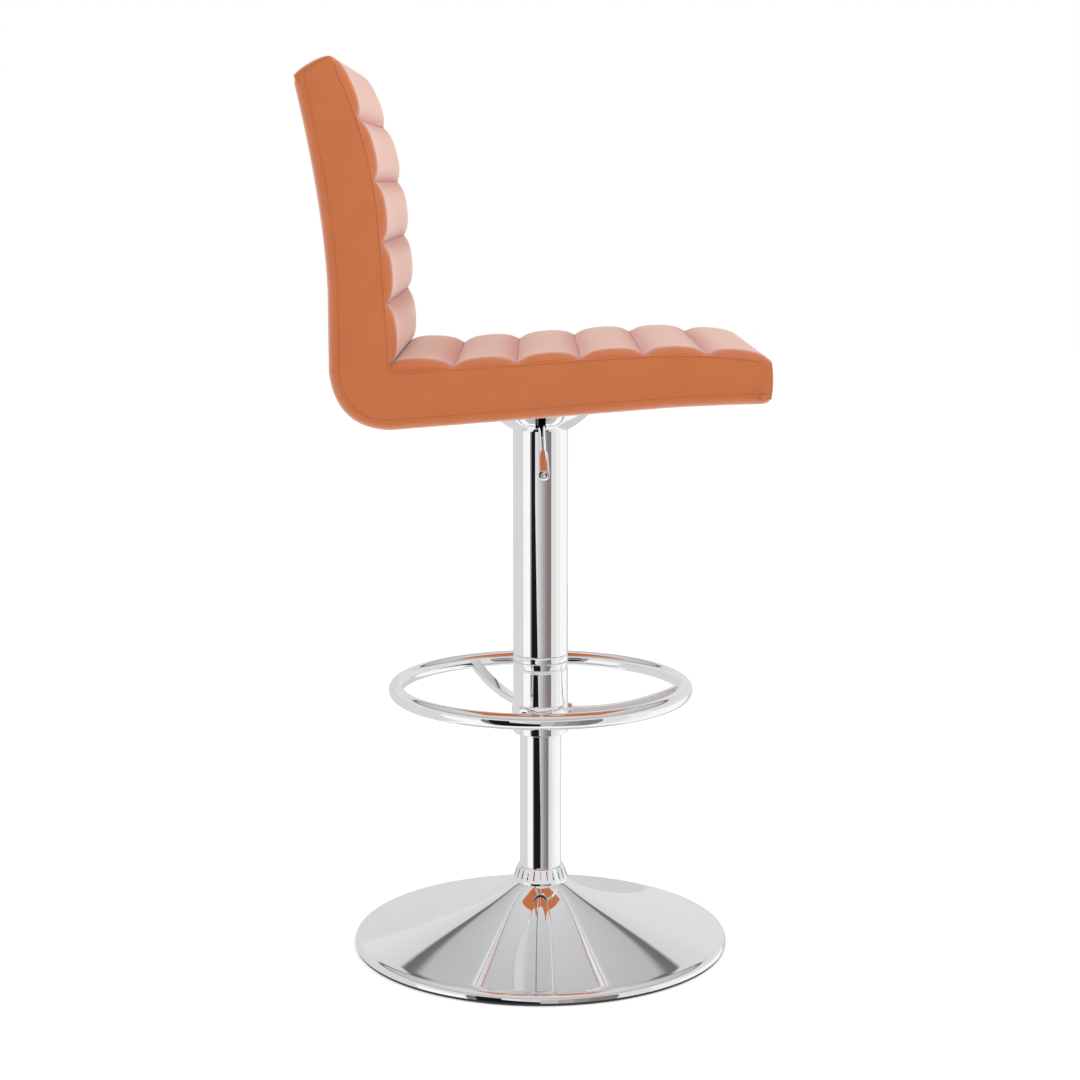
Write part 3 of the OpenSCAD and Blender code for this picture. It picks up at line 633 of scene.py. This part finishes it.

# ---- Vinyl ----
# Burnt orange upholstery vinyl with a fine pebbled grain and a satin top coat, which
# turns pale where light skims over it. Along a seam it is pulled in, and its colour
# gets a painted shade there, darker and redder.


# Its first colour is a painted shade, darker and redder, laid in the seam grooves.
def orange_vinyl(name, painted_seam_shade=(0.5, 0.065, 0.016), low=(0.475, 0.115, 0.018), high=(0.505, 0.124, 0.02)):
    """Vinyl mottled between low and high, darkened and reddened along its seams by a painted shade."""
    made, tree, shader = material_of(name)
    mottle = speckle(tree, 0.03, 2.0)
    cloth_tone = two_tones(tree, mottle.outputs["Fac"], low, high)
    # Painted shade: the attribute read here mixes the colour towards the painted seam tone in the grooves.
    seam = tree.nodes.new("ShaderNodeAttribute")
    seam.attribute_name = "seam"
    mix = tree.nodes.new("ShaderNodeMix")
    mix.data_type = "RGBA"
    mix.inputs["B"].default_value = (*painted_seam_shade, 1)
    tree.links.new(seam.outputs["Fac"], mix.inputs["Factor"])
    tree.links.new(cloth_tone, mix.inputs["A"])
    tree.links.new(mix.outputs["Result"], shader.inputs["Base Color"])
    tree.links.new(ranged(tree, mottle.outputs["Fac"], 0.4, 0.5), shader.inputs["Roughness"])
    shader.inputs["Specular IOR Level"].default_value = 0.5
    shader.inputs["Sheen Weight"].default_value = 0.84
    shader.inputs["Sheen Roughness"].default_value = 0.4
    shader.inputs["Sheen Tint"].default_value = (1.0, 0.83, 0.77, 1)
    shader.inputs["Coat Weight"].default_value = 0.2
    shader.inputs["Coat Roughness"].default_value = 0.3
    pebble = speckle(tree, 0.0011, 1.0, "ShaderNodeTexVoronoi")
    fine = raised(tree, pebble.outputs["Distance"], 0.00006, shader)
    drape = speckle(tree, 0.02, 2.0)
    raised(tree, drape.outputs["Fac"], 0.0003, shader, over=fine)
    return made


vinyl = orange_vinyl("orange_vinyl")

# ---- The lines of the seat and back ----
# Seen from the side, the seat rakes back and rolls off at the nose, and the back leans
# and then curls rearward. The sewn lines and the board lines all follow these curves.
front_y = -0.2285
rear_y = 0.2112
back_foot_y = 0.15
roll_start = -0.0615
seat_z = 0.6555
back_z0 = 0.6533
back_z1 = 0.9543
curl_z = back_z0 + 0.119
rear_bend_z = back_z0 + 0.067
top_rear_z = back_z1 - 0.0193
half_width = 0.185
seat_rake = math.tan(math.radians(4))
nose_roll = 0.0157
under_roll = 0.0035
back_lean = math.tan(math.radians(3.6))
back_curl = 0.0365
rear_curl = 0.0303
rear_curl_run = 0.209


def seat_line(y):
    """The height of the seat's sewn lines at y."""
    roll = max(0, (roll_start - y) / (roll_start - front_y)) ** 2.6
    return seat_z - y * seat_rake - nose_roll * roll


def under_line(y):
    """The height of the seat's underside at y."""
    return under_height - y * under_slope - under_roll * max(0, (front_y + 0.107 - y) / 0.095) ** 1.5


def back_line(z):
    """How far back the back's sewn lines lie at height z."""
    curl = max(0, (z - curl_z) / (back_z1 - curl_z)) ** 2.3
    return back_foot_y + (z - back_z0) * back_lean + back_curl * curl


def rear_line(z):
    """How far back the rear of the back lies at height z."""
    return rear_y + rear_curl * max(0, (z - rear_bend_z) / rear_curl_run) ** 1.6


seat_pad_count = 6
seat_pads_depth = 0.3785
back_pad_count = 5
back_pads_height = 0.301
seat_seams = [Vector((back_foot_y + 0.0008, 0.6512))]
for k in range(1, seat_pad_count + 1):
    y = back_foot_y - seat_pads_depth * k / seat_pad_count
    seat_seams.append(Vector((y, seat_line(y))))
back_seams = []
for k in range(back_pad_count + 1):
    z = back_z1 - back_pads_height * k / back_pad_count
    back_seams.append(Vector((back_line(z), z)))

# ---- Sewn pads ----
# Vinyl over soft foam, sewn through at equal spaces so that each channel stands up as
# a pad. The ends are pulled down to the side panel. Each panel is blown up as cloth.


def spaced(count):
    """Steps from 0 to 1, closer together at both ends."""
    return [(1 - math.cos(math.pi * k / count)) / 2 for k in range(count + 1)]


cloth_frames = 20


def blown(name, start, quads, pinned, limit):
    """The points after air has pushed the cloth out, each held within limit metres."""
    cloth_mesh = bpy.data.meshes.new(name + "_cloth")
    cloth_mesh.from_pydata(start, [], quads)
    cloth = bpy.data.objects.new(name + "_cloth", cloth_mesh)
    scene.collection.objects.link(cloth)
    held = cloth.vertex_groups.new(name="sewn")
    held.add([i for i, p in enumerate(pinned) if p > 0.5], 1.0, "REPLACE")
    sim = cloth.modifiers.new("cloth", "CLOTH")
    sim.settings.vertex_group_mass = "sewn"
    sim.settings.quality = 6
    sim.settings.mass = 0.3
    sim.settings.tension_stiffness = 12
    sim.settings.compression_stiffness = 12
    sim.settings.shear_stiffness = 4
    sim.settings.bending_stiffness = 0.4
    sim.settings.use_pressure = True
    sim.settings.uniform_pressure_force = 4
    sim.settings.effector_weights.gravity = 0
    sim.collision_settings.use_collision = False
    sim.point_cache.frame_start = 1
    sim.point_cache.frame_end = cloth_frames
    for step in range(1, cloth_frames + 1):
        scene.frame_set(step)
    shaped = cloth.evaluated_get(bpy.context.evaluated_depsgraph_get()).data
    ended = []
    for old, new in zip(start, shaped.vertices):
        move = new.co - old
        if move.length > limit:
            move = move.normalized() * limit
        ended.append(old + move)
    bpy.data.objects.remove(cloth)
    scene.frame_set(1)
    return ended


# Width of the painted shade that darkens the vinyl towards each sewn line.
seam_shade = 0.0085
sewn_near = 0.0004


def channel_panel(name, seams, crown, end_round, swell, rows=16, back_depth=0.008):
    """One sewn panel with a pad between each two seams, given as (y, z) points."""
    reach = half_width - 0.0012
    edge = [end_round * 1.15 * t for t in spaced(16)[:13]]
    inner = [edge[-1] + (reach - edge[-1]) * k / 24 for k in range(1, 25)]
    depth_in = edge + inner
    across = [-(reach - d) for d in depth_in] + [reach - d for d in reversed(depth_in[:-1])]
    lines = []
    for k in range(len(seams) - 1):
        for t in spaced(rows)[(1 if k else 0):]:
            lines.append((k, t))
    start = []
    under = []
    pinned = []
    seam_mark = []
    for k, t in lines:
        a, b = seams[k], seams[k + 1]
        along = (b - a).normalized()
        out = Vector((along.y, -along.x))
        length = (b - a).length
        for x in across:
            d = reach - abs(x)
            end = (1 - (1 - min(d / end_round, 1)) ** 2.1) ** (1 / 2.1) if d > 0 else 0
            inner_seam = 0 < k + round(t) < len(seams) - 1
            sewn_at = Vector((x * 9, k * 3.1 + round(t) * 3.1, 4))
            wander = 0.0009 * noise.noise(sewn_at) if inner_seam else 0.0
            base = a.lerp(b, t) + along * wander * abs(1 - 2 * t) ** 3 * min(1, d / 0.02)
            height = crown * (1 - abs(2 * t - 1) ** 2.5) ** 0.5 * end
            point = base + out * height
            start.append(Vector((x, point.x, point.y)))
            floor_point = base - out * back_depth
            under.append(Vector((x, floor_point.x, floor_point.y)))
            near = min(t, 1 - t) * length
            pinned.append(1.0 if near < sewn_near or d < 0.0002 else 0.0)
            # Painted shade: how far the colour is darkened towards the nearest sewn line, fading near the
            # ends.
            seam_mark.append(max(0.0, 1 - near / seam_shade) * min(1, d / 0.004))
    columns = len(across)
    count = len(lines)
    quads = []
    for i in range(count - 1):
        for j in range(columns - 1):
            here = i * columns + j
            quads.append((here, here + 1, here + columns + 1, here + columns))
    top = list(start)
    top = blown(name, start, quads, pinned, swell)
    for i, (k, t) in enumerate(lines):
        a, b = seams[k], seams[k + 1]
        along = (b - a).normalized()
        out = Vector((0, along.y, -along.x))
        near = min(t, 1 - t) * (b - a).length
        if near < sewn_near:
            continue
        pull = math.exp(-near / 0.007) * min(1, near / 0.003)
        for j, x in enumerate(across):
            gather = noise.noise(Vector((x * 62, (k + round(t)) * 5.3, 1.7)))
            fade = min(1, (reach - abs(x)) / 0.012)
            here = i * columns + j
            top[here] = top[here] + out * 0.0007 * pull * gather * fade
    verts = top + under
    total = count * columns
    faces = list(quads)
    faces += [tuple(total + v for v in reversed(q)) for q in quads]
    rim = list(range(columns))
    rim += [i * columns + columns - 1 for i in range(1, count)]
    rim += [(count - 1) * columns + j for j in range(columns - 2, -1, -1)]
    rim += [i * columns for i in range(count - 2, 0, -1)]
    for k in range(len(rim)):
        a, b = rim[k], rim[(k + 1) % len(rim)]
        faces.append((a, b, total + b, total + a))
    piece = solid_piece(name, verts, faces, vinyl, "seat", "vinyl", 180)
    # The painted seam shade is stored on the points for the vinyl to read.
    mark = piece.data.attributes.new("seam", "FLOAT", "POINT")
    mark.data.foreach_set("value", seam_mark + [0.0] * total)
    crease = piece.data.attributes.new("crease_edge", "FLOAT", "EDGE")
    sewn_rows = {i for i, (k, t) in enumerate(lines) if t in (0.0, 1.0)}
    sharpness = []
    for e in piece.data.edges:
        i, j = e.vertices
        both_top = i < total and j < total
        same_row = both_top and i // columns == j // columns and i // columns in sewn_rows
        on_rim = both_top and i % columns == j % columns and i % columns in (0, columns - 1)
        sharpness.append(0.9 if same_row or on_rim else 0.0)
    crease.data.foreach_set("value", sharpness)
    smooth = piece.modifiers.new("soft", "SUBSURF")
    smooth.levels = 1
    smooth.render_levels = 1
    return piece


seat_pads = channel_panel("seat_pads_sewn", seat_seams, crown=0.0108, end_round=0.016, swell=0.0014)
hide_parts("seat_channels", "seat_foam")
back_pads = channel_panel("back_pads_sewn", back_seams, crown=0.0108, end_round=0.013, swell=0.0014)
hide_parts("back_channels", "back_foam")

# ---- Nose and top cap ----
# Two plain strips close the front of the seat and the top of the back. Each is sewn
# along both edges and pulled tight over the foam, so that it bulges a little.
nose_round_z = 0.6195
nose_seams = [Vector((front_y, seat_line(front_y))), Vector((front_y, nose_round_z))]
nose_strip = channel_panel("nose_strip_sewn", nose_seams, crown=0.0036, end_round=0.008,
                           swell=0.001, rows=12, back_depth=0.006)
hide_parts("nose_panel")
cap_rear = Vector((rear_line(top_rear_z) - 0.0024, top_rear_z))
cap_front = Vector((back_line(back_z1), back_z1))
cap_strip = channel_panel("top_cap_sewn", [cap_rear, cap_front], crown=0.0064, end_round=0.012,
                          swell=0.0015, rows=14, back_depth=0.006)
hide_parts("top_cap")

# ---- Rear and bottom wrap ----
# One long piece runs from the nose under the seat and up the back. Its side edges turn
# round the corners of the foam and are sewn to the side panels a finger's width in.
round_y = 0.1492
round_z = 0.6455
nose_y = -0.2165
turn_in = 0.0112
nose_steps = 10
under_steps = 40
heel_steps = 20
wrap_path = []
nose_corner = [(front_y, nose_round_z), (front_y - 0.001, under_line(nose_y)), (nose_y, under_line(nose_y))]
for k in range(nose_steps):
    wrap_path.append(bent(nose_corner, k / nose_steps))
for k in range(under_steps):
    y = nose_y + (round_y - nose_y) * k / under_steps
    wrap_path.append(Vector((y, under_line(y))))
heel = [(round_y, under_line(round_y)), (rear_y - 0.007, under_line(round_y) + 0.0005), (rear_y, round_z)]
for k in range(heel_steps):
    wrap_path.append(bent(heel, k / heel_steps))
for k in range(61):
    z = round_z + (top_rear_z - round_z) * (1 - (1 - k / 60) ** 1.5)
    tuck = 0.0028 * max(0, 1 - (top_rear_z - z) / 0.009) ** 2
    wrap_path.append(Vector((rear_line(z) - tuck, z)))
wrap_in = []
for k, here in enumerate(wrap_path):
    before = wrap_path[max(k - 1, 0)]
    after = wrap_path[min(k + 1, len(wrap_path) - 1)]
    along = (after - before).normalized()
    wrap_in.append(Vector((-along.y, along.x)))
wrap_in[-1] = (cap_front - cap_rear).normalized()
wrap_in[-2] = (wrap_in[-2] + wrap_in[-1] * 0.5).normalized()
vinyl_thickness = 0.0018
corner_round = 0.0104
corner_run = 0.017
rear_fullness = 0.0012
# Strength of the painted shade laid along the sewn edges of the wrap and side panels.
wrap_seam_mark = 0.12
wrap_section = [(half_width - 0.0002, turn_in), (half_width + 0.0001, turn_in - 0.0006)]
for k in range(9):
    turn = math.pi / 2 * k / 8
    wrap_section.append((half_width + 0.0002 - corner_run * (1 - math.cos(turn)),
                         corner_round * (1 - math.sin(turn))))
for k in range(1, 20):
    wrap_section.append(((half_width - corner_run) * (1 - k / 10), 0.0))
wrap_section += [(-x, off) for x, off in reversed(wrap_section[:11])]
wrap_verts = []
wrap_faces = []
wrap_painted_shade = []
wide = len(wrap_section)
for here, inward in zip(wrap_path, wrap_in):
    for j, (x, off) in enumerate(wrap_section):
        full = rear_fullness * (1 - (x / half_width) ** 2)
        p = here + inward * (off - full)
        wrap_verts.append((x, p.x, p.y))
        # The turned-in edges get the painted seam shade.
        wrap_painted_shade.append(wrap_seam_mark if off > turn_in - 0.0001 else 0.0)
for i in range(len(wrap_path) - 1):
    for j in range(wide - 1):
        here = i * wide + j
        wrap_faces.append((here, here + 1, here + wide + 1, here + wide))
wrap = solid_piece("rear_wrap_sewn", wrap_verts, wrap_faces, vinyl, "seat", "vinyl", 180)
wrap.data.attributes.new("seam", "FLOAT", "POINT").data.foreach_set("value", wrap_painted_shade)
thick = wrap.modifiers.new("vinyl_thickness", "SOLIDIFY")
thick.thickness = vinyl_thickness
thick.offset = -1
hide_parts("rear_panel")

# ---- Side panels ----
# Flat L-shaped panels, one each side, cut from the same vinyl over thin wadding. They
# are sewn to the pads along the top and to the wrap along the bottom and the rear.
seat_steps = 36
# Strength of the painted shade along the side panel's seam with the pads.
pad_seam_mark = 0.3
side_bulge = 0.0011
side_top = [Vector((front_y, seat_line(front_y)))]
for k in range(1, seat_steps + 1):
    y = front_y + (back_foot_y - 0.004 - front_y) * k / seat_steps
    side_top.append(Vector((y, seat_line(y))))
side_top.append(Vector((back_foot_y - 0.0008, 0.6475)))
side_top.append(Vector((back_foot_y, 0.6515)))
for k in range(31):
    z = back_z0 + 0.001 + (back_z1 - back_z0 - 0.001) * k / 30
    side_top.append(Vector((back_line(z), z)))
side_low = [Vector((front_y, nose_round_z))]
for here, inward in list(zip(wrap_path, wrap_in))[1:]:
    side_low.append(here + inward * turn_in)


def along_path(points):
    """How far along the path each point lies, from 0 to 1."""
    run = [0.0]
    for a, b in zip(points, points[1:]):
        run.append(run[-1] + (b - a).length)
    return [r / run[-1] for r in run]


def at(points, run, where):
    """The point that share of the way along the path."""
    for a, b, s, e in zip(points, points[1:], run, run[1:]):
        if where <= e:
            return a.lerp(b, (where - s) / max(e - s, 1e-9))
    return points[-1]


top_corner = seat_steps + 1
low_corner = nose_steps + under_steps + heel_steps // 2
seat_part, back_part = side_top[:top_corner + 1], side_top[top_corner:]
low_part, rear_part = side_low[:low_corner + 1], side_low[low_corner:]
part_steps = 60
pairs = []
for upper, lower in ((seat_part, low_part), (back_part, rear_part)):
    upper_run, lower_run = along_path(upper), along_path(lower)
    for k in range(part_steps + 1):
        if pairs and k == 0:
            continue
        share = k / part_steps
        pairs.append((at(upper, upper_run, share), at(lower, lower_run, share)))
inset = [(0.0, -0.0016), (0.0006, -0.0007), (0.0014, -0.0001), (0.003, 0.0002)]
low_inset = [(0.003, 0.0002), (0.0014, 0.0001), (0.0006, -0.0002), (0.0, -0.0001)]
for side, name in ((-1, "right"), (1, "left")):
    verts = []
    faces = []
    side_painted_shade = []
    columns = 2 * len(inset) + 11
    for upper, lower in pairs:
        width = (lower - upper).length
        down = (lower - upper).normalized()
        steps = list(inset)
        for k in range(1, 12):
            share = k / 12
            d = inset[-1][0] + (width - 2 * inset[-1][0]) * share
            steps.append((d, 0.0002 + side_bulge * math.sin(math.pi * share)))
        steps += [(width - d, x) for d, x in low_inset]
        for d, x in steps:
            p = upper + down * d
            verts.append((side * (half_width + x), p.x, p.y))
            side_painted_shade.append(0.0)
        # Painted shade on the first and last point of each row, at both seams.
        side_painted_shade[-len(steps)] = pad_seam_mark
        side_painted_shade[-1] = wrap_seam_mark
    for i in range(len(pairs) - 1):
        for j in range(columns - 1):
            here = i * columns + j
            quad = (here, here + 1, here + columns + 1, here + columns)
            faces.append(quad if side > 0 else quad[::-1])
    panel = solid_piece(f"side_panel_{name}_sewn", verts, faces, vinyl, "seat", "vinyl", 180)
    panel.data.attributes.new("seam", "FLOAT", "POINT").data.foreach_set("value", side_painted_shade)
    padding = panel.modifiers.new("vinyl_thickness", "SOLIDIFY")
    padding.thickness = vinyl_thickness
    padding.offset = -1
    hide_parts(f"side_panel_{name}")

# ---- Welts and stitches ----
# A folded edge of the same vinyl lies along the seam between pads and side panel, and a
# row of small stitches follows the seam of the wrap.
thread = speckled_finish(
    "orange_thread", 0.0006, ((0.49, 0.125, 0.025), (0.54, 0.145, 0.035)), (0.6, 0.8))
welt_radius = 0.0009
thread_radius = 0.00024


def line_piece(name, runs, radius, finish, body):
    """Round cord laid along each run of points."""
    curve = bpy.data.curves.new(name, "CURVE")
    curve.dimensions = "3D"
    curve.bevel_depth = radius
    curve.bevel_resolution = 2
    curve.use_fill_caps = True
    for run in runs:
        spline = curve.splines.new("POLY")
        spline.points.add(len(run) - 1)
        for point, p in zip(spline.points, run):
            point.co = (*p, 1)
    curve.materials.append(finish)
    piece = bpy.data.objects.new(name, curve)
    scene.collection.objects.link(piece)
    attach(piece, body)


stitch_pitch = 0.0042
stitch_length = 0.0029
for side, name in ((-1, "right"), (1, "left")):
    x = side * (half_width - 0.0006)
    welt = [(x, p.x, p.y) for p in side_top[1:-1]]
    line_piece(f"welt_{name}", [welt], welt_radius, vinyl, "seat")
    stitched = [p + (q - p).normalized() * -0.0022 for p, q in zip(side_low[8:], wrap_path[8:])]
    run = along_path(stitched)
    length = sum((b - a).length for a, b in zip(stitched, stitched[1:]))
    stitches = []
    for k in range(int(length / stitch_pitch)):
        a = at(stitched, run, k * stitch_pitch / length)
        b = at(stitched, run, (k * stitch_pitch + stitch_length) / length)
        lift = side * (half_width + 0.0003)
        sunk = side * (half_width - 0.0002)
        middle = a.lerp(b, 0.5)
        stitches.append([(sunk, a.x, a.y), (lift, middle.x, middle.y), (sunk, b.x, b.y)])
    line_piece(f"stitches_{name}", stitches, thread_radius, thread, "seat")
